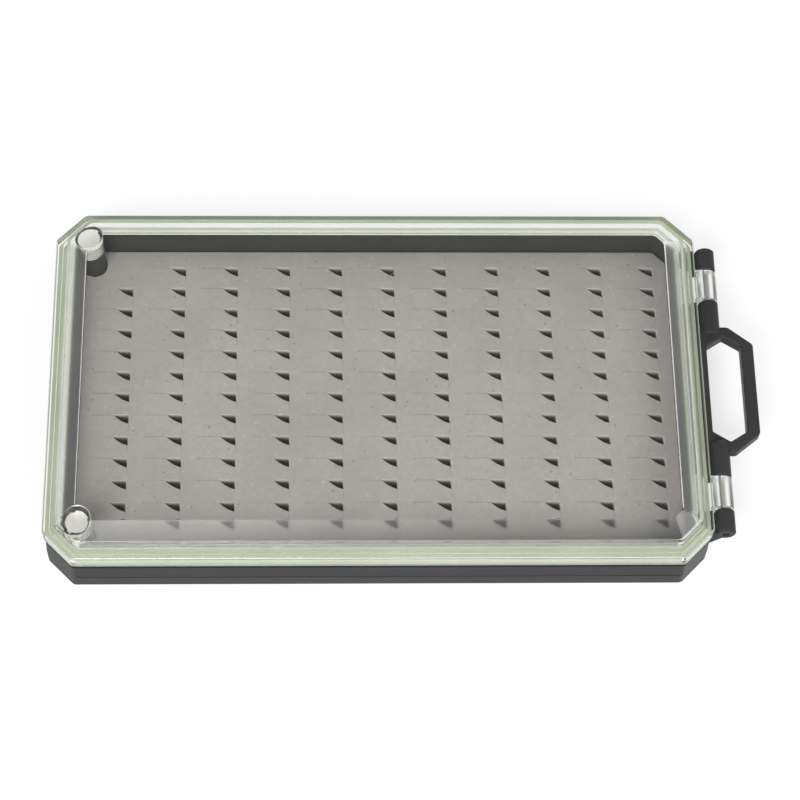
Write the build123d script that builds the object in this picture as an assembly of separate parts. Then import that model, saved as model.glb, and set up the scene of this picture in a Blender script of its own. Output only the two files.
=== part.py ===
from build123d import *
import math
import os

# Spoon lure box: a shallow moulded tray with a slit foam pad, a clear hinged lid, a seal and corner magnets.
# X runs along the length with the hinge at +X, Y along the depth, Z up. The origin is the centre of the
# tray's underside. All sizes are in millimetres.

# Closed box
box_length = 188.0
box_depth = 109.5
corner_cut = 8.3
corner_round = 2.0
tray_height = 13.8
lid_gap = 0.15

# Tray moulding
tray_inset = 0.4
tray_draft = 0.25
tray_step_height = 6.2
tray_step_depth = 0.3
tray_bottom_bevel = 0.8
reveal_height = 1.9
reveal_depth = 1.0
floor_thickness = 1.6
well_inset = 5.0
lip_thickness = 1.5

# Seal
seal_clearance = 1.1
seal_flange_inset = 0.5
seal_flange_thickness = 0.45
seal_flap_thickness = 0.35
seal_bead_height = 0.15
seal_bead_margin = 0.5
seal_squeeze_gap = 0.15

# Lid moulding
rim_height = 5.55
rim_wall = 1.9
ledge_thickness = 1.9
ledge_width = 3.35
shoulder_height = 3.7
shoulder_lean = 0.3
shoulder_wall = 1.4
shoulder_corner_drop = 2.1
bevel_height = 2.6
bevel_width = 5.75
plate_thickness = 1.3
plate_edge_margin = 0.3
rim_edge_round = 0.6

# Foam pad
foam_thickness = 4.8
foam_clearance = 0.25
notch_columns = 11
notch_rows = 13
notch_margin_left = 19.7
notch_margin_hinge = 13.0
notch_margin_rear = 12.27
notch_margin_front = 14.07
notch_length = 4.2
notch_width = 2.7
notch_bulge = 0.35

# Corner closure
post_end_distance = 10.1
post_side_distance = 10.15
post_radius = 3.6
post_rise = 2.1
boss_radius = 3.8
boss_clearance = 0.4
boss_side_clearance = 0.35
boss_wall = 0.75
lid_magnet_length = 5.0
post_magnet_radius = 2.5
post_magnet_length = 3.0
magnet_clearance = 0.05
magnet_recess = 0.15
magnet_chamfer = 0.2

# Hinge
hinge_offset = 3.9
barrel_radius = 2.9
barrel_edge_break = 0.5
end_knuckle_length = 7.3
lid_knuckle_length = 9.5
knuckle_clearance = 0.25
hinge_end_margin = 9.15
pin_radius = 1.0
pin_edge_break = 0.2
pin_recess = 0.7
pin_fit = 0.03
pin_running_clearance = 0.08
lug_drop = 4.2

# Carry loop
loop_reach = 16.1
loop_length = 40.1
loop_flat_reach = 9.0
loop_side_length = 28.8
loop_bar = 3.7
loop_top_rise = 0.9
loop_hole_length = 33.8
loop_hole_side_length = 27.4
loop_hole_start = 2.4
loop_corner_round = 1.5
loop_edge_break = 0.4

# Places worked out from the sizes above
post_x = box_length / 2 - post_end_distance
post_y = box_depth / 2 - post_side_distance
post_top = tray_height + post_rise
notch_pitch_x = (box_length - notch_margin_left - notch_margin_hinge) / (notch_columns - 1)
notch_pitch_y = (box_depth - notch_margin_rear - notch_margin_front) / (notch_rows - 1)
notch_grid_x = (notch_margin_left - notch_margin_hinge) / 2
notch_grid_y = (notch_margin_front - notch_margin_rear) / 2
hinge_span = box_depth - 2 * hinge_end_margin
hinge_x = box_length / 2 + hinge_offset
hinge_z = tray_height
lid_bottom = tray_height + lid_gap
seat_top = tray_height - seal_flange_thickness
rim_top = lid_bottom + rim_height
shoulder_top = rim_top + shoulder_height
lid_top = shoulder_top + bevel_height
ceiling = rim_top - ledge_thickness
seal_top = ceiling - seal_squeeze_gap
seal_flap_top = seal_top - seal_bead_height
lip_top = seal_flap_top - seal_flap_thickness
seal_outer = rim_wall + seal_clearance
lip_outer = well_inset - lip_thickness
bevel_start = ledge_width + shoulder_lean
plate_inset = bevel_start + bevel_width
foam_top = floor_thickness + foam_thickness
boss_bottom = post_top + boss_clearance
lid_magnet_radius = boss_radius - boss_wall - magnet_clearance
lid_knuckle_outer = hinge_span / 2 - end_knuckle_length - knuckle_clearance
lid_knuckle_inner = lid_knuckle_outer - lid_knuckle_length
loop_bottom = hinge_z - barrel_radius
loop_top = hinge_z + loop_top_rise
pin_inner_end = loop_length / 2 + pin_recess
reveal_bottom = tray_height - reveal_height
lug_root = box_length / 2 - tray_inset - tray_step_depth - lip_thickness
lug_step = box_length / 2 + tray_inset
lug_top = seat_top - lid_gap


def octagon(inset, rounding=corner_round):
    """Plan outline: a rectangle with 45 degree corners, drawn in evenly by inset."""
    half_x = box_length / 2 - inset
    half_y = box_depth / 2 - inset
    cut = corner_cut - inset * (2 - math.sqrt(2))
    corners = [
        (half_x, half_y - cut), (half_x - cut, half_y), (cut - half_x, half_y), (-half_x, half_y - cut),
        (-half_x, cut - half_y), (cut - half_x, -half_y), (half_x - cut, -half_y), (half_x, cut - half_y),
    ]
    outline = Polygon(*corners, align=None)
    return fillet(outline.vertices(), rounding) if rounding > 0 else outline


def upwards(outline, bottom, top):
    """Upright block of a plan outline between two heights."""
    return Pos(0, 0, bottom) * extrude(outline, top - bottom, dir=(0, 0, 1))


def prism(inset, bottom, top):
    """Upright octagonal block between two heights."""
    return upwards(octagon(inset), bottom, top)


def taper(inset_bottom, inset_top, bottom, top):
    """Octagonal block whose walls lean from one inset to another."""
    lower = Pos(0, 0, bottom) * octagon(inset_bottom)
    upper = Pos(0, 0, top) * octagon(inset_top)
    return loft([lower, upper], ruled=True)


def upright(radius, x, y, bottom, top):
    """Upright round bar between two heights."""
    bar = Cylinder(radius, top - bottom, align=(Align.CENTER, Align.CENTER, Align.MIN))
    return Pos(x, y, bottom) * bar


def along_hinge(radius, start, end, edge_break=0.0):
    """Round bar on the hinge axis between two places along Y."""
    bar = Cylinder(radius, end - start)
    if edge_break > 0:
        bar = chamfer(bar.edges().filter_by(GeomType.CIRCLE), edge_break)
    return Pos(hinge_x, (start + end) / 2, hinge_z) * Rot(90, 0, 0) * bar


def corner_places():
    """The two closure corners, rear first."""
    return [(-post_x, post_y), (-post_x, -post_y)]


def boss_room():
    """Space kept clear for the lid's bosses beside the lip and the seal."""
    room = boss_radius + boss_side_clearance
    return [upright(room, x, y, post_top, rim_top) for x, y in corner_places()]


def knuckle_body(start, end, profile):
    """Straight lug between two places along Y, from (x, z) corner points."""
    face = Polygon(*profile, align=None)
    return Pos(0, end, 0) * extrude(Rot(90, 0, 0) * face, end - start)


def tray_shell():
    """Outer tray wall with a stepped side, a shadow reveal under the lid, the well and the seal lip."""
    foot_inset = tray_inset + tray_draft
    foot = taper(foot_inset + tray_bottom_bevel, foot_inset, 0, tray_bottom_bevel)
    lower = foot + taper(foot_inset, tray_inset, tray_bottom_bevel, tray_step_height)
    upper = prism(tray_inset + tray_step_depth, tray_step_height, reveal_bottom)
    seat = prism(tray_inset + reveal_depth, reveal_bottom, seat_top)
    lip = prism(lip_outer, seat_top, lip_top)
    well = prism(well_inset, floor_thickness, lip_top)
    return lower + upper + seat + lip - well - boss_room()


def carry_loop():
    """Flat six-sided carrying loop beside the hinge, with its six-sided hole."""
    reach = box_length / 2 + loop_reach
    flat = box_length / 2 + loop_flat_reach
    half = loop_length / 2
    side = loop_side_length / 2
    outline = Polygon((lug_root, half), (flat, half), (reach, side), (reach, -side), (flat, -half),
                      (lug_root, -half), align=None)
    outline = fillet(outline.vertices().filter_by(lambda v: v.X > lug_root + 1), loop_corner_round)
    hole_start = box_length / 2 + loop_hole_start
    hole_end = reach - loop_bar
    hole_middle = (hole_start + hole_end) / 2
    apex = loop_hole_length / 2
    hole_side = loop_hole_side_length / 2
    hole = Polygon((hole_start, hole_side), (hole_middle, apex), (hole_end, hole_side),
                   (hole_end, -hole_side), (hole_middle, -apex), (hole_start, -hole_side), align=None)
    hole = fillet(hole.vertices(), loop_corner_round / 2)
    plate = upwards(outline, loop_bottom, loop_top) - upwards(hole, loop_bottom, loop_top)
    plate = chamfer(plate.edges().group_by(Axis.Z)[-1], loop_edge_break)
    lid_room = Box(2 * (lug_step - lug_root), box_depth, loop_top,
                   align=(Align.CENTER, Align.CENTER, Align.MIN))
    return plate - Pos(lug_root, 0, lug_top) * lid_room


def tray_knuckle(start, end):
    """One fixed hinge barrel with the gusset that ties it to the tray's side."""
    wall = box_length / 2 - tray_inset - tray_step_depth
    gusset = [(lug_root, loop_bottom - lug_drop), (wall, loop_bottom - lug_drop), (hinge_x, loop_bottom),
              (hinge_x, hinge_z), (lug_step, hinge_z), (lug_step, lug_top), (lug_root, lug_top)]
    barrel = along_hinge(barrel_radius, start, end, barrel_edge_break)
    return barrel + knuckle_body(start + barrel_edge_break, end - barrel_edge_break, gusset)


def tray():
    """Complete lower moulding: shell, closure posts, hinge barrels and carry loop, bored for the pins."""
    body = tray_shell()
    for x, y in corner_places():
        body += upright(post_radius, x, y, floor_thickness, post_top)
        body -= upright(post_magnet_radius + magnet_clearance, x, y, post_top - post_magnet_length, post_top)
    outer = hinge_span / 2
    inner = lid_knuckle_inner - knuckle_clearance
    for side in (1, -1):
        for near, far in ((outer - end_knuckle_length, outer), (loop_length / 2 - barrel_radius, inner)):
            start, end = sorted((side * near, side * far))
            body += tray_knuckle(start, end)
    body += carry_loop()
    for side in (1, -1):
        start, end = sorted((side * pin_inner_end, side * (outer + 1)))
        body -= along_hinge(pin_radius + pin_fit, start, end)
    return body


def lid_knuckle(side):
    """One clear hinge barrel with the web that ties it to the lid's rim."""
    start, end = sorted((side * lid_knuckle_inner, side * lid_knuckle_outer))
    barrel = along_hinge(barrel_radius, start, end)
    root = box_length / 2 - rim_wall / 2
    web = [(root, lid_bottom), (hinge_x, lid_bottom), (hinge_x, hinge_z + barrel_radius),
           (root, hinge_z + barrel_radius)]
    return barrel + knuckle_body(start, end, web)


def lid():
    """Clear stepped lid: rim, ledge, short leaning shoulder, bevel and flat plate, with magnet bosses."""
    rim = prism(0, lid_bottom, rim_top)
    rim = fillet(rim.edges().group_by(Axis.Z)[-1], rim_edge_round)
    shoulder = taper(ledge_width, bevel_start, rim_top, shoulder_top)
    bevel = taper(bevel_start, plate_inset, shoulder_top, lid_top)
    under_shoulder = ledge_width + shoulder_wall
    under_plate = plate_inset + plate_edge_margin
    inner_corner = shoulder_top - shoulder_corner_drop
    hollow = prism(rim_wall, lid_bottom, ceiling)
    hollow += prism(under_shoulder, ceiling, inner_corner)
    hollow += taper(under_shoulder, under_plate, inner_corner, lid_top - plate_thickness)
    body = rim + shoulder + bevel
    outside = body
    body -= hollow
    for x, y in corner_places():
        body += upright(boss_radius, x, y, boss_bottom, lid_top) & outside
        body -= upright(lid_magnet_radius + magnet_clearance, x, y, boss_bottom, boss_bottom + lid_magnet_length)
    for side in (1, -1):
        body += lid_knuckle(side)
        start, end = sorted((side * (lid_knuckle_inner - 1), side * (lid_knuckle_outer + 1)))
        body -= along_hinge(pin_radius + pin_running_clearance, start, end)
    return body


def gasket():
    """Silicone seal: a flange under the lid's rim, a wall round the tray's lip, a flap over it and a low bead."""
    wall = prism(seal_flange_inset, seat_top, tray_height) + prism(seal_outer, tray_height, seal_flap_top)
    ring = wall - prism(lip_outer, seat_top, lip_top) - prism(well_inset, lip_top, seal_flap_top)
    bead_outer = seal_outer + seal_bead_margin
    bead_inner = well_inset - seal_bead_margin
    bead = taper(bead_outer, bead_outer + seal_bead_height, seal_flap_top, seal_top)
    bead -= taper(bead_inner, bead_inner - seal_bead_height, seal_flap_top, seal_top)
    return ring + bead - boss_room()


def notch():
    """One hook notch: straight rear and right edges and a slope bent outwards, cut right through the pad."""
    tip = (-notch_length / 2, notch_width / 2)
    back = (notch_length / 2, notch_width / 2)
    foot = (notch_length / 2, -notch_width / 2)
    slope = math.hypot(notch_length, notch_width)
    middle = (-notch_bulge * notch_width / slope, -notch_bulge * notch_length / slope)
    return upwards(Polygon(tip, middle, foot, back, align=None), floor_thickness, foam_top)


def notch_places():
    """Centres of the notches, with the first column left out of the two rows beside the posts."""
    places = []
    for row in range(notch_rows):
        first = 1 if row in (0, notch_rows - 1) else 0
        y = notch_grid_y + ((notch_rows - 1) / 2 - row) * notch_pitch_y
        for column in range(first, notch_columns):
            places.append((notch_grid_x + (column - (notch_columns - 1) / 2) * notch_pitch_x, y))
    return places


def foam_pad():
    """Foam pad that fills the well, cut out round the posts and notched for the hooks."""
    pad = prism(well_inset + foam_clearance, floor_thickness, foam_top)
    for x, y in corner_places():
        pad -= upright(post_radius + foam_clearance, x, y, floor_thickness, foam_top)
    pad = max(pad.solids(), key=lambda solid: solid.volume)
    return pad - [Pos(x, y, 0) * notch() for x, y in notch_places()]


def hinge_pin(side):
    """Steel pin through one end barrel, the lid's barrel and one inner barrel."""
    start, end = sorted((side * pin_inner_end, side * (hinge_span / 2 - pin_recess)))
    return along_hinge(pin_radius, start, end, pin_edge_break)


def lid_magnet(x, y):
    """Magnet pressed up into a lid boss."""
    disc = upright(lid_magnet_radius, x, y, boss_bottom + magnet_recess, boss_bottom + lid_magnet_length)
    return chamfer(disc.edges().group_by(Axis.Z)[0], magnet_chamfer)


def post_magnet(x, y):
    """Magnet set into the top of a tray post."""
    return upright(post_magnet_radius, x, y, post_top - post_magnet_length, post_top - magnet_recess)


def save(name, shape):
    """Write one sub-part, named as its node."""
    solids = shape.solids()
    part = solids[0] if len(solids) == 1 else Compound(children=list(solids))
    part.label = name
    export_step(part, f"parts/{name}.step")


os.makedirs("parts", exist_ok=True)
save("tray", tray())
save("lid", lid())
save("gasket", gasket())
save("foam_pad", foam_pad())
for end_name, side, place in (("rear", 1, corner_places()[0]), ("front", -1, corner_places()[1])):
    save(f"hinge_pin_{end_name}", hinge_pin(side))
    save(f"lid_magnet_{end_name}", lid_magnet(*place))
    save(f"post_magnet_{end_name}", post_magnet(*place))
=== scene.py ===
import bmesh
import bpy
import numpy as np
from mathutils import Matrix, Vector


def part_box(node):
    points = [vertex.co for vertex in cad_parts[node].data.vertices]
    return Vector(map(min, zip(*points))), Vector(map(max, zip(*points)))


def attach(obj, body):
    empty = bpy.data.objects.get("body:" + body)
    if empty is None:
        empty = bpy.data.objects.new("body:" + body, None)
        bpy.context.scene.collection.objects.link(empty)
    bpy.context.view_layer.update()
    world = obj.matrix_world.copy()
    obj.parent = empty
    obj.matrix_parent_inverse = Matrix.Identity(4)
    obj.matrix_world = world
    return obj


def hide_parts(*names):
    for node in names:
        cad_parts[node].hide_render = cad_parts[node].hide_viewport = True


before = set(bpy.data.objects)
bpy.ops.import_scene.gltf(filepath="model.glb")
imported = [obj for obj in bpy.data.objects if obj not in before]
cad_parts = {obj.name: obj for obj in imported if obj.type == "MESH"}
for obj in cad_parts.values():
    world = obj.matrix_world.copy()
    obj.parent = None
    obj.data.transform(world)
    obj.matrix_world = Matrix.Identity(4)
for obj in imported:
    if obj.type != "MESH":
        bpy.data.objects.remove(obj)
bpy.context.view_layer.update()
MM = 0.001

# Tray. One dark grey moulding in tough plastic with a fine satin skin: shell, seal lip, closure posts, hinge
# barrels and carry loop. Its colour drifts a little with the flow of the melt, and handling leaves faint scuffs.


def put(tree, kind, inputs=None, **settings):
    """Add a node, with its settings, and fill its sockets with plain values or with links."""
    node = tree.nodes.new(kind)
    for name, value in settings.items():
        setattr(node, name, value)
    for socket, value in (inputs or {}).items():
        if isinstance(value, bpy.types.NodeSocket):
            tree.links.new(value, node.inputs[socket])
        else:
            node.inputs[socket].default_value = value
    return node


def number(tree, operation, first, second=0.0):
    """One sum of two numbers or sockets."""
    return put(tree, "ShaderNodeMath", {0: first, 1: second}, operation=operation).outputs[0]


def ramp(tree, value, low, high, start=0.0, end=1.0):
    """Smooth step: the value's way from low to high becomes the way from start to end."""
    return put(tree, "ShaderNodeMapRange", {"Value": value, "From Min": low, "From Max": high, "To Min": start,
                                            "To Max": end}, interpolation_type="SMOOTHSTEP").outputs[0]


def blend_colour(tree, share, first, second):
    """Colour between two colours."""
    node = put(tree, "ShaderNodeMix", data_type="RGBA")
    for place, value in ((0, share), (6, first), (7, second)):
        if isinstance(value, bpy.types.NodeSocket):
            tree.links.new(value, node.inputs[place])
        else:
            node.inputs[place].default_value = value
    return node.outputs[2]


def noise(tree, position, scale, detail=2.0, roughness=0.5):
    """Cloudy noise of so many bumps per metre."""
    return put(tree, "ShaderNodeTexNoise", {"Vector": position, "Scale": scale, "Detail": detail,
                                            "Roughness": roughness}).outputs[0]


def stretched(tree, position, turn, scale):
    """Position turned about the axes and then stretched, for marks that run one way."""
    turned = put(tree, "ShaderNodeMapping", {"Vector": position, "Rotation": turn})
    return put(tree, "ShaderNodeMapping", {"Vector": turned.outputs[0], "Scale": scale}).outputs[0]


def new_group(name, takes, gives):
    """Empty node group with named number, colour and vector sockets."""
    group = bpy.data.node_groups.new(name, "ShaderNodeTree")
    for socket, kind in takes:
        group.interface.new_socket(socket, in_out="INPUT", socket_type="NodeSocket" + kind)
    for socket, kind in gives:
        group.interface.new_socket(socket, in_out="OUTPUT", socket_type="NodeSocket" + kind)
    return group, group.nodes.new("NodeGroupInput"), group.nodes.new("NodeGroupOutput")


def surface_life():
    """Fine grain, slow drift of tone and thin scuffs, for any hard moulded or metal surface."""
    group, taken, given = new_group("surface_life", [("Position", "Vector"), ("Grain", "Float")],
                                    [("Height", "Float"), ("Drift", "Float"), ("Scuffs", "Float")])
    position = taken.outputs["Position"]
    grain = noise(group, position, taken.outputs["Grain"], 3.0, 0.6)
    drift = ramp(group, noise(group, position, 45.0, 3.0), 0.3, 0.7)
    first = noise(group, stretched(group, position, (0.2, 0.1, 0.5), (60.0, 2600.0, 900.0)), 1.0, 1.0)
    second = noise(group, stretched(group, position, (-0.3, 0.2, -0.9), (45.0, 2200.0, 800.0)), 1.0, 1.0)
    patches = ramp(group, noise(group, position, 70.0, 2.0), 0.5, 0.66)
    marks = number(group, "MAXIMUM", ramp(group, first, 0.70, 0.78), ramp(group, second, 0.71, 0.79))
    group.links.new(grain, given.inputs["Height"])
    group.links.new(drift, given.inputs["Drift"])
    group.links.new(number(group, "MULTIPLY", marks, patches), given.inputs["Scuffs"])
    return group


life_group = surface_life()


def new_material(name, grain):
    """Material with a plain shader, the position on the piece and the shared surface life."""
    material = bpy.data.materials.new(name)
    material.use_nodes = True
    tree = material.node_tree
    tree.nodes.clear()
    shader = put(tree, "ShaderNodeBsdfPrincipled")
    output = put(tree, "ShaderNodeOutputMaterial", {"Surface": shader.outputs[0]})
    position = put(tree, "ShaderNodeTexCoord").outputs["Object"]
    life = put(tree, "ShaderNodeGroup", node_tree=life_group)
    tree.links.new(position, life.inputs["Position"])
    life.inputs["Grain"].default_value = grain
    return material, tree, shader, output, position, life.outputs


def raise_surface(tree, shader, height, depth, strength=1.0):
    """Bump of the given depth in metres."""
    bump = put(tree, "ShaderNodeBump", {"Height": height, "Distance": depth, "Strength": strength})
    tree.links.new(bump.outputs[0], shader.inputs["Normal"])


def clothe(piece, material):
    """Give a CAD node its material in each of its slots."""
    if not piece.material_slots:
        piece.data.materials.append(material)
    for place in piece.material_slots:
        place.material = material


tray_dark, tray_pale, tray_scuff = (0.037, 0.0373, 0.0373, 1), (0.043, 0.0433, 0.0433, 1), (0.10, 0.10, 0.10, 1)


def tray_finish():
    """Dark grey plastic whose tone and gloss drift together, with paler and duller scuffs."""
    material, tree, shader, _, _, life = new_material("tray_plastic", 2600.0)
    tone = blend_colour(tree, life["Drift"], tray_dark, tray_pale)
    tone = blend_colour(tree, number(tree, "MULTIPLY", life["Scuffs"], 0.35), tone, tray_scuff)
    tree.links.new(tone, shader.inputs["Base Color"])
    rough = number(tree, "ADD", ramp(tree, life["Drift"], 0.0, 1.0, 0.30, 0.38),
                   number(tree, "MULTIPLY", life["Scuffs"], 0.12))
    tree.links.new(rough, shader.inputs["Roughness"])
    shader.inputs["Specular IOR Level"].default_value = 0.05
    raise_surface(tree, shader, life["Height"], 0.03 * MM, 0.35)
    return material


same_point, thin_ring = 0.002 * MM, 0.5 * MM


def softened(node, name, radius, body, material):
    """Piece in a CAD node's place with small moulded radii: a copy of its mesh with the doubles merged and the
    flat faces joined, except thin rings. Edges that turn more than a third of a radian are rounded."""
    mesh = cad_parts[node].data.copy()
    mesh.name = name
    shape = bmesh.new()
    shape.from_mesh(mesh)
    bmesh.ops.remove_doubles(shape, verts=shape.verts, dist=same_point)
    inner = [edge for edge in shape.edges if edge.calc_length() > thin_ring]
    bmesh.ops.dissolve_limit(shape, angle_limit=0.01, verts=shape.verts, edges=inner)
    for face in shape.faces:
        face.smooth = True
    shape.to_mesh(mesh)
    shape.free()
    mesh.materials.clear()
    mesh.materials.append(material)
    piece = bpy.data.objects.new(name, mesh)
    bpy.context.scene.collection.objects.link(piece)
    rounded = piece.modifiers.new("moulded_radii", "BEVEL")
    rounded.width = radius
    rounded.segments = 2
    rounded.limit_method = "ANGLE"
    rounded.angle_limit = 0.35
    rounded.use_clamp_overlap = False
    shading = piece.modifiers.new("shading", "WEIGHTED_NORMAL")
    shading.weight = 100
    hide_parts(node)
    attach(piece, body)
    return piece


def fuller_wall(piece):
    """Draw the outer wall out by a little, most at the foot, and turn its step into a soft crease: the step's outer
    ring drops a little and its inner ring more, so that the short face between them slopes. A point belongs to the
    wall by its height and by its inset, the least of its ways to the outline's end, side and cut corner."""
    count = len(piece.data.vertices)
    flat = np.empty(count * 3)
    piece.data.vertices.foreach_get("co", flat)
    place = flat.reshape(-1, 3)
    away = abs(place[:, :2])
    corner = (box_half.sum() - corner_cut - away.sum(1)) * 0.5 ** 0.5
    inset = np.minimum((box_half - away).min(1), corner)
    height = place[:, 2].copy()
    wall = (inset > -near) & (inset < wall_depth) & (height < wall_top)
    step = wall & (abs(height - step_height) < same_height)
    inner = step & (inset > step_middle)
    lower = inner | (height < step_height - near)
    out = np.select([height < near, lower], [foot_fullness, lower_fullness], upper_fullness) * wall
    place[:, :2] *= 1 + out[:, None] / box_half
    place[:, 2] -= np.where(inner, inner_drop, 1.0) * step_drop * step
    piece.data.vertices.foreach_set("co", place.ravel())


box_half, corner_cut = np.array([94.0, 54.75]) * MM, 8.3 * MM
wall_top, wall_depth, near, same_height = 12.0 * MM, 1.7 * MM, 0.1 * MM, 0.01 * MM
step_height, step_middle = 6.2 * MM, 0.62 * MM
step_drop, inner_drop = 0.6 * MM, 2.6
upper_fullness, lower_fullness, foot_fullness = 0.36 * MM, 0.62 * MM, 1.38 * MM
tray_radius = 0.1 * MM
fuller_wall(softened("tray", "tray_moulding", tray_radius, "tray", tray_finish()))

# Closure magnets. Four nickel plated discs: two pressed into the tops of the tray's posts and two up into the
# lid's bosses. The plating is pale and softly matt, with a slight drift of tone and a few duller scuffs.


nickel_dark, nickel_pale = (0.90, 0.88, 0.85, 1), (0.95, 0.93, 0.90, 1)


def magnet_finish():
    """Matt metal with a fine grain."""
    material, tree, shader, _, _, life = new_material("magnet_nickel", 5000.0)
    tone = blend_colour(tree, life["Drift"], nickel_dark, nickel_pale)
    tree.links.new(tone, shader.inputs["Base Color"])
    shader.inputs["Metallic"].default_value = 1.0
    rough = number(tree, "ADD", ramp(tree, life["Drift"], 0.0, 1.0, 0.55, 0.63),
                   number(tree, "MULTIPLY", life["Scuffs"], 0.2))
    tree.links.new(rough, shader.inputs["Roughness"])
    raise_surface(tree, shader, life["Height"], 0.01 * MM, 0.4)
    return material


nickel = magnet_finish()
for node in ("post_magnet_rear", "post_magnet_front", "lid_magnet_rear", "lid_magnet_front"):
    clothe(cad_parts[node], nickel)

# Foam pad. Closed-cell grey foam, die cut: it fills the well, fits round the two posts and has 141 shark-fin
# notches for the hooks, each with a hair slit running left from its tip and another forward from its foot.
columns, rows = 11, 13
pitch = np.array([15.53, 6.93])
grid_middle = np.array([3.35, 0.9])
along, across = 5, 3
notch_length, notch_width = 4.2, 2.7
notch_bulge = 0.38
post_place = np.array([-83.9, 44.6])
post_room = 3.85
pad_corner = 5.22
pad_edge = 0.5
lip_edge = 0.28
foam_dark, foam_pale, foam_pore = (0.390, 0.361, 0.352, 1), (0.430, 0.399, 0.389, 1), (0.22, 0.21, 0.195, 1)
foam_mottle, foam_speck, foam_hole = (0.30, 0.27, 0.26, 1), (0.54, 0.52, 0.50, 1), (0.15, 0.14, 0.13, 1)
# The pale cut-edge colour is a painted highlight on the rounded lips and the pad's rounded rim; the last colour is a
# painted shade low in the notches and down the pad's sides.
foam_painted_highlight, foam_slit, foam_painted_shade = (0.52, 0.50, 0.48, 1), (0.12, 0.115, 0.11, 1), (0.16, 0.15, 0.14, 1)


def miter(loop, distance):
    """Closed loop moved sideways: each corner goes along the sum of its two edges' normals, divided by one plus
    their product, so that both edges move by the distance. Positive is to the right of the direction of travel."""
    edge = np.roll(loop, -1, axis=-2) - loop
    edge = edge / np.linalg.norm(edge, axis=-1, keepdims=True)
    after = np.stack([edge[..., 1], -edge[..., 0]], -1)
    before = np.roll(after, 1, axis=-2)
    together = 1 + np.sum(before * after, axis=-1, keepdims=True)
    return loop + distance * (before + after) / together


def ring_faces(rings, places):
    """Quads between neighbouring closed rings of equally many places."""
    ring, place = np.meshgrid(np.arange(rings - 1), np.arange(places), indexing="ij")
    beside = (place + 1) % places
    faces = [ring * places + place, ring * places + beside, (ring + 1) * places + beside,
             (ring + 1) * places + place]
    return np.stack(faces, -1).reshape(-1, 4)


def make_piece(name, points, faces, highlight_weight=None, smooth=0.6):
    """Mesh object from points in millimetres: doubles merged, normals outwards, sharp where faces turn more."""
    mesh = bpy.data.meshes.new(name)
    mesh.from_pydata((points * MM).tolist(), [], faces)
    # Each point's weight of the painted highlight on the rounded lips goes along as a point attribute.
    if highlight_weight is not None:
        mark = mesh.attributes.new("painted_lip_highlight", "FLOAT", "POINT")
        mark.data.foreach_set("value", highlight_weight.astype(np.float32))
    shape = bmesh.new()
    shape.from_mesh(mesh)
    bmesh.ops.remove_doubles(shape, verts=shape.verts, dist=same_point)
    bmesh.ops.recalc_face_normals(shape, faces=shape.faces)
    for face in shape.faces:
        face.smooth = True
    for edge in shape.edges:
        edge.smooth = len(edge.link_faces) == 2 and edge.calc_face_angle(0.0) < smooth
    shape.to_mesh(mesh)
    shape.free()
    piece = bpy.data.objects.new(name, mesh)
    bpy.context.scene.collection.objects.link(piece)
    return piece


def cell_loops(half_x, half_y):
    """Loops round all the pad's cells, one per notch place, counter-clockwise from the rear left corner. The
    outer cells reach the pad's own edge, where points beyond the cut corner slide back onto it."""
    columns_at = grid_middle[0] + (np.arange(columns + 1) - columns / 2) * pitch[0]
    rows_at = grid_middle[1] + (rows / 2 - np.arange(rows + 1)) * pitch[1]
    columns_at[[0, -1]] = -half_x, half_x
    rows_at[[0, -1]] = half_y, -half_y
    x = np.interp(np.arange(columns * along + 1) / along, np.arange(columns + 1), columns_at)
    y = np.interp(np.arange(rows * across + 1) / across, np.arange(rows + 1), rows_at)
    cut = pad_corner - pad_edge * (2 - 2 ** 0.5)
    for values, edge in ((x, half_x), (y, half_y)):
        for side in (-1, 1):
            values[np.argmin(abs(values - side * (edge - cut)))] = side * (edge - cut)
    step_x = np.r_[np.zeros(across), np.arange(along), np.full(across, along), np.arange(along, 0, -1)].astype(int)
    step_y = np.r_[np.arange(across), np.full(along, across), np.arange(across, 0, -1), np.zeros(along)].astype(int)
    row, column = np.meshgrid(np.arange(rows), np.arange(columns), indexing="ij")
    at_x = x[column.reshape(-1, 1) * along + step_x]
    at_y = y[row.reshape(-1, 1) * across + step_y]
    outline_x = np.r_[np.full(rows * across, -half_x), x[:-1], np.full(rows * across, half_x), x[:0:-1]]
    outline_y = np.r_[y[:-1], np.full(columns * along, -half_y), y[:0:-1], np.full(columns * along, half_y)]
    reach = half_x + half_y - cut

    def onto_corner(px, py):
        over = np.maximum(abs(px) + abs(py) - reach, 0) / 2
        plan = np.stack([px - np.sign(px) * over, py - np.sign(py) * over], -1)
        for side in (1, -1):
            away = plan - post_place * (1, side)
            distance = np.linalg.norm(away, axis=-1, keepdims=True)
            least = post_room + lip_edge + 0.1
            plan = plan + away / distance * np.maximum(least - distance, 0) * (distance > 0.1)
        return plan

    middles = grid_middle + np.stack([(column - (columns - 1) / 2) * pitch[0],
                                      ((rows - 1) / 2 - row) * pitch[1]], -1).reshape(-1, 2)
    return onto_corner(at_x, at_y), onto_corner(outline_x, outline_y), middles, row.ravel(), column.ravel()


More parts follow.
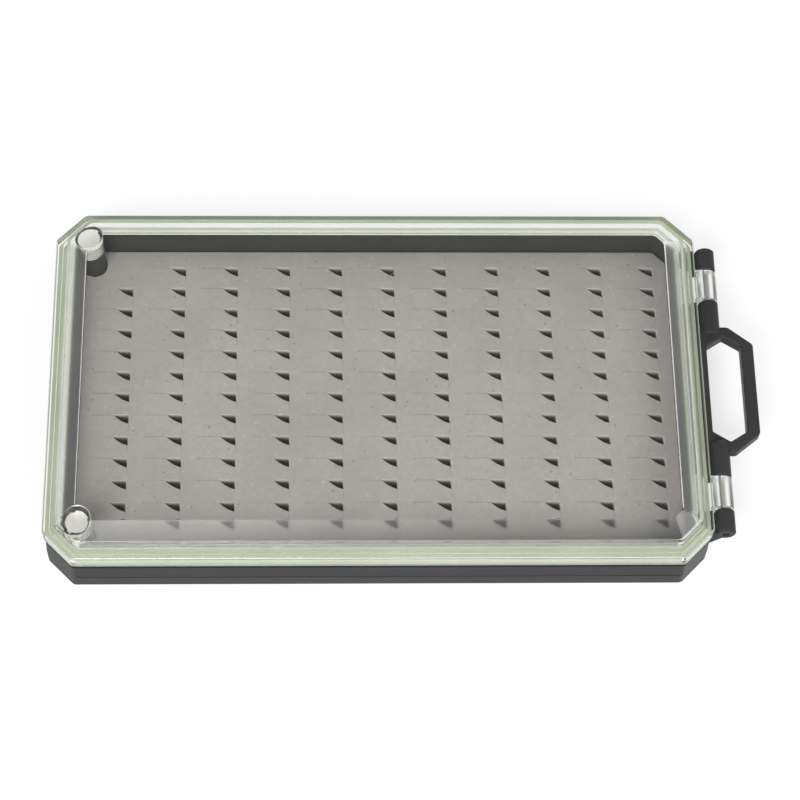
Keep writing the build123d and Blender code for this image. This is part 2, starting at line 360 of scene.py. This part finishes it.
def notch_loop():
    """Outline of one notch, matched to its cell's loop: from the tip down the bulged slope to the foot, up the
    right edge, round the small rear corner and back along the straight rear edge."""
    tip, foot = np.array([-notch_length / 2, notch_width / 2]), np.array([notch_length / 2 + 0.1, -notch_width / 2])
    way = np.linspace(0, 1, across + along + 1)[:-1, None]
    out = np.array([tip[1] - foot[1], tip[0] - foot[0]]) * (-1, 1) / np.hypot(*(foot - tip))
    out = out * np.sign(-out[1])
    slope = tip + (foot - tip) * way + out * notch_bulge * np.sin(np.pi * way) ** 0.8
    right_way = np.array([0.0, 0.42, 0.76])[:, None]
    right = foot + (np.array([notch_length / 2, notch_width / 2]) - foot) * right_way
    rear_x = np.array([1.93, 1.45, 0.1, -0.75, -1.5])
    rear_y = np.array([1.26, 1.35, 1.35, 1.35, 1.35])
    return np.concatenate([slope, right, np.stack([rear_x, rear_y], -1)])


def foam_pad():
    """Pad as rings. Each cell runs from its own border over the notch's rounded lip, down the notch's wall and back
    out to its border underneath; the rim runs from the outer border over a rounded edge to the underside."""
    low, high = (np.array(corner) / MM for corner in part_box("foam_pad"))
    top, bottom = high[2], low[2]
    cells, outline, middles, row, column = cell_loops(high[0] - pad_edge, high[1] - pad_edge)
    beside_post = (column == 0) & ((row == 0) | (row == rows - 1))
    points, faces, marks = [], [], []

    def add(rings, mark):
        """Keep stacks of rings, (stack, ring, place, xyz), with how much of the painted highlight each ring takes."""
        stacks, count, places = rings.shape[:3]
        first = sum(len(part) for part in points)
        start = first + np.arange(stacks)[:, None, None] * count * places
        faces.extend((ring_faces(count, places)[None] + start).reshape(-1, 4).tolist())
        points.append(rings.reshape(-1, 3))
        marks.append(np.broadcast_to(np.array(mark)[None, :, None], rings.shape[:3]).ravel())

    def level(loops, height):
        return np.concatenate([loops, np.full(loops.shape[:-1] + (1,), height)], -1)

    turn = np.array([0.0, 30.0, 60.0, 90.0]) * np.pi / 180
    own = middles[~beside_post, None] + notch_loop()
    stack = [level(cells[~beside_post], top), level(miter(own, lip_edge + 0.2), top)]
    stack += [level(miter(own, lip_edge * (1 - np.sin(t))), top - lip_edge * (1 - np.cos(t))) for t in turn]
    stack += [level(miter(own, -0.1), bottom), level(cells[~beside_post], bottom)]
    # Each ring's share of the painted highlight on the notch's rounded lip.
    add(np.stack(stack, 1), [0, 0, 0.25, 0.8, 1, 0.6, 0, 0])

    holed = cells[beside_post]
    centre = np.stack([post_place, post_place * (1, -1)])[:, None]
    outward = (holed - centre) / np.linalg.norm(holed - centre, axis=-1, keepdims=True)
    stack = [level(holed, top), level(centre + outward * np.minimum(
        post_room + lip_edge + 0.2, np.linalg.norm(holed - centre, axis=-1, keepdims=True)), top)]
    stack += [level(centre + outward * (post_room + lip_edge * (1 - np.sin(t))),
                    top - lip_edge * (1 - np.cos(t))) for t in turn]
    stack += [level(centre + outward * post_room, bottom), level(holed, bottom)]
    add(np.stack(stack, 1), [0, 0, 0.25, 0.8, 1, 0.6, 0, 0])

    stack = [level(miter(outline, pad_edge * np.sin(t)), top - pad_edge * (1 - np.cos(t))) for t in turn]
    stack += [level(miter(outline, pad_edge * np.sin(t)), bottom + pad_edge * (1 - np.cos(t))) for t in turn[::-1]]
    # The pad's rounded outer rim takes a weaker painted highlight.
    add(np.stack(stack)[None], [0, 0.3, 0.6, 0.6, 0.3, 0, 0, 0])
    return make_piece("slit_foam_pad", np.concatenate(points), faces, np.concatenate(marks))


def foam_finish():
    """Grey foam: fine pores, mottling, pale specks, small dark holes, hair slits drawn in each notch's own cell,
    a painted highlight on the rounded cut edges, and a painted shade low in the notches and down the pad's sides."""
    material, tree, shader, _, position, life = new_material("foam", 2200.0)
    parts = put(tree, "ShaderNodeSeparateXYZ", {0: position}).outputs
    wander = noise(tree, position, 260.0, 2.0)
    wander_y = number(tree, "MULTIPLY", number(tree, "SUBTRACT", wander, 0.5), 0.30)
    place = []
    for axis, low in ((0, -9.5), (1, -4.9)):
        shifted = number(tree, "MULTIPLY_ADD", parts[axis], 1 / MM)
        shifted.node.inputs[2].default_value = -float(grid_middle[axis]) - low
        place.append(number(tree, "ADD", put(tree, "ShaderNodeMath", {0: shifted, 1: float(pitch[axis])},
                                             operation="FLOORED_MODULO").outputs[0], low))
    x, y = place
    rear_line = number(tree, "ABSOLUTE", number(tree, "SUBTRACT", number(tree, "ADD", y, wander_y), 1.35))
    rear_slit = number(tree, "MULTIPLY", ramp(tree, rear_line, 0.02, 0.11, 1.0, 0.0),
                       number(tree, "MULTIPLY", ramp(tree, x, -8.35, -8.2), ramp(tree, x, -2.0, -1.8, 1.0, 0.0)))
    foot_line = number(tree, "ABSOLUTE", number(tree, "SUBTRACT", number(tree, "ADD", x, wander_y), 2.2))
    foot_slit = number(tree, "MULTIPLY", ramp(tree, foot_line, 0.02, 0.11, 1.0, 0.0),
                       number(tree, "MULTIPLY", ramp(tree, y, -4.2, -3.9), ramp(tree, y, -1.5, -1.2, 1.0, 0.0)))
    slits = number(tree, "MAXIMUM", rear_slit, number(tree, "MULTIPLY", foot_slit, 0.8))
    faint = ramp(tree, noise(tree, position, 90.0, 1.0), 0.35, 0.6, 0.25, 1.0)
    dot = put(tree, "ShaderNodeVectorMath", {0: put(tree, "ShaderNodeCombineXYZ", {0: x, 1: y}).outputs[0],
                                             1: (-8.3, 1.3, 0.0)}, operation="DISTANCE").outputs["Value"]
    slits = number(tree, "MULTIPLY", number(tree, "MAXIMUM", slits, ramp(tree, dot, 0.12, 0.3, 0.9, 0.0)), faint)
    inside = ramp(tree, number(tree, "ABSOLUTE", parts[1]), 0.0388, 0.0390, 1.0, 0.0)
    inside = number(tree, "MAXIMUM", inside, ramp(tree, parts[0], -0.0665, -0.0663))
    slits = number(tree, "MULTIPLY", slits, inside)
    pores = put(tree, "ShaderNodeTexVoronoi", {"Vector": position, "Scale": 2600.0}).outputs["Distance"]
    pits = ramp(tree, pores, 0.0, 0.45, 0.0, 1.0)
    specks = put(tree, "ShaderNodeTexVoronoi", {"Vector": position, "Scale": 330.0}).outputs["Distance"]
    specks = ramp(tree, specks, 0.06, 0.17, 1.0, 0.0)
    holes = put(tree, "ShaderNodeTexVoronoi", {"Vector": position, "Scale": 240.0}).outputs["Distance"]
    holes = ramp(tree, holes, 0.04, 0.10, 1.0, 0.0)
    mottle = ramp(tree, noise(tree, position, 700.0, 4.0, 0.65), 0.38, 0.62)
    tone = blend_colour(tree, life["Drift"], foam_dark, foam_pale)
    tone = blend_colour(tree, number(tree, "MULTIPLY", number(tree, "SUBTRACT", 1.0, pits), 0.22), tone, foam_pore)
    tone = blend_colour(tree, number(tree, "MULTIPLY", mottle, 0.22), tone, foam_mottle)
    tone = blend_colour(tree, number(tree, "MULTIPLY", specks, 0.5), tone, foam_speck)
    tone = blend_colour(tree, number(tree, "MULTIPLY", holes, 0.6), tone, foam_hole)
    # Painted highlight: the rounded lips and the pad's rounded rim are made paler.
    cut = put(tree, "ShaderNodeAttribute", attribute_name="painted_lip_highlight", attribute_type="GEOMETRY").outputs["Fac"]
    tone = blend_colour(tree, number(tree, "MULTIPLY", cut, 0.45), tone, foam_painted_highlight)
    tone = blend_colour(tree, number(tree, "MULTIPLY", slits, 0.55), tone, foam_slit)
    # Painted shade: the foam turns darker low in the notches and down the pad's sides, where less light reaches.
    tone = blend_colour(tree, ramp(tree, parts[2], 0.0046, 0.0062, 1.0, 0.0), tone, foam_painted_shade)
    tree.links.new(tone, shader.inputs["Base Color"])
    shader.inputs["Roughness"].default_value = 0.85
    shader.inputs["Specular IOR Level"].default_value = 0.25
    height = number(tree, "ADD", number(tree, "MULTIPLY", pits, 0.6), number(tree, "MULTIPLY", life["Height"], 0.8))
    height = number(tree, "SUBTRACT", height, number(tree, "MULTIPLY", slits, 3.0))
    raise_surface(tree, shader, height, 0.03 * MM, 0.6)
    return material


pad = foam_pad()
pad.data.materials.append(foam_finish())
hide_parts("foam_pad")
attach(pad, "tray")

# Seal. A pale green silicone ring pushed over the tray's lip, with a thin flange that lies under the lid's rim. It is
# soft and half matt, with a slight drift of tone and gloss.


seal_dark, seal_pale = (0.44, 0.49, 0.37, 1), (0.49, 0.54, 0.41, 1)


def seal_finish():
    """Half matt silicone with a fine grain."""
    material, tree, shader, _, _, life = new_material("seal_silicone", 3000.0)
    tone = blend_colour(tree, life["Drift"], seal_dark, seal_pale)
    tree.links.new(tone, shader.inputs["Base Color"])
    tree.links.new(ramp(tree, life["Drift"], 0.0, 1.0, 0.42, 0.55), shader.inputs["Roughness"])
    shader.inputs["IOR"].default_value = 1.41
    raise_surface(tree, shader, life["Height"], 0.02 * MM, 0.3)
    return material


clothe(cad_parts["gasket"], seal_finish())

# Lid. One clear moulding in polished plastic: rim, ledge, short shoulder, bevel and flat plate, with two round
# bosses and two hinge barrels. It bends light, throws hardly any shadow, and carries a few fine scuffs.
lid_half_x, lid_half_y = (float(half) for half in box_half)
bevel_start, bevel_foot, bevel_slope = 3.65 * MM, 23.2 * MM, 0.452
boss_place = (-83.9 * MM, 44.6 * MM, 0.0)
magnet_top, magnet_air = 21.3 * MM, 0.04 * MM
lid_radius = 0.18 * MM
lid_dark, lid_pale, lid_shade = (0.965, 0.975, 0.96, 1), (0.985, 0.99, 0.98, 1), (0.95, 0.955, 0.945, 1)
band_matt, boss_matt, barrel_matt, scuff_matt = 0.20, 0.22, 0.28, 0.18


def less(tree, first, second):
    """Second minus first, both numbers or sockets."""
    return number(tree, "SUBTRACT", second, first)


def lid_softness(tree, position):
    """How matt the lid is: the bevel's inner face, the bosses and the hinge barrels come from less polished parts
    of the mould. The inset from the outline is the least of the ways to the end, the side and the cut corner."""
    x, y, z = put(tree, "ShaderNodeSeparateXYZ", {0: position}).outputs
    across_x, across_y = number(tree, "ABSOLUTE", x), number(tree, "ABSOLUTE", y)
    corner = less(tree, number(tree, "ADD", across_x, across_y), lid_half_x + lid_half_y - corner_cut)
    sides = number(tree, "MINIMUM", less(tree, across_x, lid_half_x), less(tree, across_y, lid_half_y))
    inset = number(tree, "MINIMUM", sides, number(tree, "MULTIPLY", corner, 0.5 ** 0.5))
    outside = number(tree, "ADD", number(tree, "MULTIPLY", inset, bevel_slope),
                     bevel_foot - bevel_slope * bevel_start)
    depth = less(tree, z, outside)
    inner = ramp(tree, depth, 0.7 * MM, 1.1 * MM)
    band = number(tree, "MULTIPLY", ramp(tree, inset, 4.6 * MM, 4.9 * MM),
                  ramp(tree, inset, 9.5 * MM, 9.9 * MM, 1.0, 0.0))
    away = put(tree, "ShaderNodeVectorMath", {0: put(tree, "ShaderNodeCombineXYZ", {0: x, 1: across_y}).outputs[0],
                                              1: boss_place}, operation="DISTANCE").outputs["Value"]
    boss = number(tree, "MULTIPLY", ramp(tree, away, 3.9 * MM, 4.1 * MM, 1.0, 0.0), inner)
    barrel = ramp(tree, x, 94.3 * MM, 94.8 * MM)
    matt = number(tree, "MULTIPLY", number(tree, "MULTIPLY", band, inner), band_matt)
    matt = number(tree, "MAXIMUM", matt, number(tree, "MULTIPLY", boss, boss_matt))
    return number(tree, "MAXIMUM", matt, number(tree, "MULTIPLY", barrel, barrel_matt))


def lid_finish():
    """Clear plastic that bends light, mixed with plain see-through for shadow and diffuse rays."""
    material, tree, shader, output, position, life = new_material("clear_plastic", 30.0)
    tone = blend_colour(tree, life["Drift"], lid_dark, lid_pale)
    tree.links.new(tone, shader.inputs["Base Color"])
    rough = number(tree, "MAXIMUM", lid_softness(tree, position),
                   number(tree, "MULTIPLY", life["Scuffs"], scuff_matt))
    tree.links.new(rough, shader.inputs["Roughness"])
    shader.inputs["IOR"].default_value = 1.49
    shader.inputs["Transmission Weight"].default_value = 1.0
    raise_surface(tree, shader, life["Height"], 0.004 * MM, 0.2)
    path = put(tree, "ShaderNodeLightPath").outputs
    straight = number(tree, "MAXIMUM", path["Is Shadow Ray"], path["Is Diffuse Ray"])
    clear = put(tree, "ShaderNodeBsdfTransparent", {"Color": lid_shade})
    mix = put(tree, "ShaderNodeMixShader", {0: straight, 1: shader.outputs[0], 2: clear.outputs[0]})
    tree.links.new(mix.outputs[0], output.inputs["Surface"])
    return material


# The magnets' holes end a hair above the magnets, so that the two faces don't fall together.
clear_lid = softened("lid", "clear_lid", lid_radius, "lid", lid_finish())
for corner in clear_lid.data.vertices:
    if abs(corner.co.z - magnet_top) < same_height:
        corner.co.z += magnet_air

# Hinge pins. Two steel wires, one in each half of the hinge, with ends that sit a little inside the barrels.


steel_dark, steel_pale = (0.70, 0.69, 0.69, 1), (0.80, 0.79, 0.78, 1)


def pin_finish():
    """Drawn steel with a fine grain."""
    material, tree, shader, _, _, life = new_material("pin_steel", 5000.0)
    tone = blend_colour(tree, life["Drift"], steel_dark, steel_pale)
    tree.links.new(tone, shader.inputs["Base Color"])
    shader.inputs["Metallic"].default_value = 1.0
    tree.links.new(ramp(tree, life["Drift"], 0.0, 1.0, 0.32, 0.44), shader.inputs["Roughness"])
    raise_surface(tree, shader, life["Height"], 0.01 * MM, 0.5)
    return material


steel = pin_finish()
for node in ("hinge_pin_rear", "hinge_pin_front"):
    clothe(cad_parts[node], steel)

# Studio. A pale floor that keeps a faint shadow, a white surround, one broad soft lamp from the front left and a
# weaker one from the right. The camera has the photograph's place, direction and lens.


def stage_finish():
    """White to the camera and in reflections, with part of it real light so that the shadow stays, and whiter far
    from the box, where the lamps reach it less."""
    material = bpy.data.materials.new("pale_floor")
    material.use_nodes = True
    tree = material.node_tree
    tree.nodes.clear()
    path = put(tree, "ShaderNodeLightPath").outputs
    seen = number(tree, "MAXIMUM", path["Is Camera Ray"], number(tree, "MAXIMUM", path["Is Glossy Ray"],
                                                                path["Is Transmission Ray"]))
    position = put(tree, "ShaderNodeTexCoord").outputs["Object"]
    colour = blend_colour(tree, noise(tree, position, 3.0), (0.40, 0.40, 0.40, 1), (0.42, 0.42, 0.42, 1))
    away = put(tree, "ShaderNodeVectorMath", {0: position}, operation="LENGTH").outputs["Value"]
    white = ramp(tree, away, 0.3, 1.0, 0.63, 0.97)
    plain = put(tree, "ShaderNodeBsdfDiffuse", {"Color": colour})
    glow = put(tree, "ShaderNodeEmission", {"Strength": number(tree, "MULTIPLY", seen, white)})
    both = put(tree, "ShaderNodeAddShader", {0: plain.outputs[0], 1: glow.outputs[0]})
    put(tree, "ShaderNodeOutputMaterial", {"Surface": both.outputs[0]})
    return material


def studio_floor(half=1.5, level=-0.05 * MM):
    """Square floor a hair below the box's underside."""
    mesh = bpy.data.meshes.new("studio_floor")
    mesh.from_pydata([(-half, -half, level), (half, -half, level), (half, half, level), (-half, half, level)],
                     [], [(0, 1, 2, 3)])
    mesh.materials.append(stage_finish())
    floor = bpy.data.objects.new("studio_floor", mesh)
    bpy.context.scene.collection.objects.link(floor)


def lamp(name, place, size, power, aim=(0.0, 0.0, 0.01)):
    """Square soft lamp aimed at the box, left out of what is seen through the clear lid."""
    light = bpy.data.lights.new(name, "AREA")
    light.shape = "SQUARE"
    light.size = size
    light.energy = power
    holder = bpy.data.objects.new(name, light)
    bpy.context.scene.collection.objects.link(holder)
    way = Vector(place) - Vector(aim)
    holder.matrix_world = Matrix.Translation(place) @ way.to_track_quat("Z", "Y").to_matrix().to_4x4()
    holder.visible_transmission = False


def surround():
    """White world: full white where it is seen, softer as light and in reflections."""
    world = bpy.data.worlds.new("surround")
    world.use_nodes = True
    tree = world.node_tree
    tree.nodes.clear()
    path = put(tree, "ShaderNodeLightPath").outputs
    height = put(tree, "ShaderNodeSeparateXYZ", {0: put(tree, "ShaderNodeTexCoord").outputs["Generated"]}).outputs[2]
    strength = number(tree, "MAXIMUM", ramp(tree, height, 0.45, 0.75, 0.95, 0.30), path["Is Camera Ray"])
    sky = put(tree, "ShaderNodeBackground", {"Color": (1.0, 1.0, 1.0, 1), "Strength": strength})
    put(tree, "ShaderNodeOutputWorld", {"Surface": sky.outputs[0]})
    bpy.context.scene.world = world


def camera():
    """Camera from its three axes, right, up and back, and its place."""
    lens = bpy.data.cameras.new("camera")
    lens.lens = 108.565
    lens.sensor_width = 36.0
    lens.clip_start = 0.01
    lens.clip_end = 20.0
    holder = bpy.data.objects.new("camera", lens)
    bpy.context.scene.collection.objects.link(holder)
    right = np.array([0.999457, -0.015037, 0.029327])
    up = np.array([0.000877, 0.901670, 0.432424])
    back = np.array([-0.032946, -0.432164, 0.901193])
    place = np.array([-16.501, -304.242, 641.344]) * MM
    axes = np.eye(4)
    axes[:3, :] = np.stack([right, up, back, place], 1)
    holder.matrix_world = Matrix(axes.tolist())
    bpy.context.scene.camera = holder


studio_floor()
lamp("key", (-0.38, -0.93, 0.93), 0.7, 14.5)
lamp("fill", (0.9, -0.3, 0.8), 0.6, 4.0)
surround()
camera()
bpy.context.scene.view_settings.view_transform = "Standard"
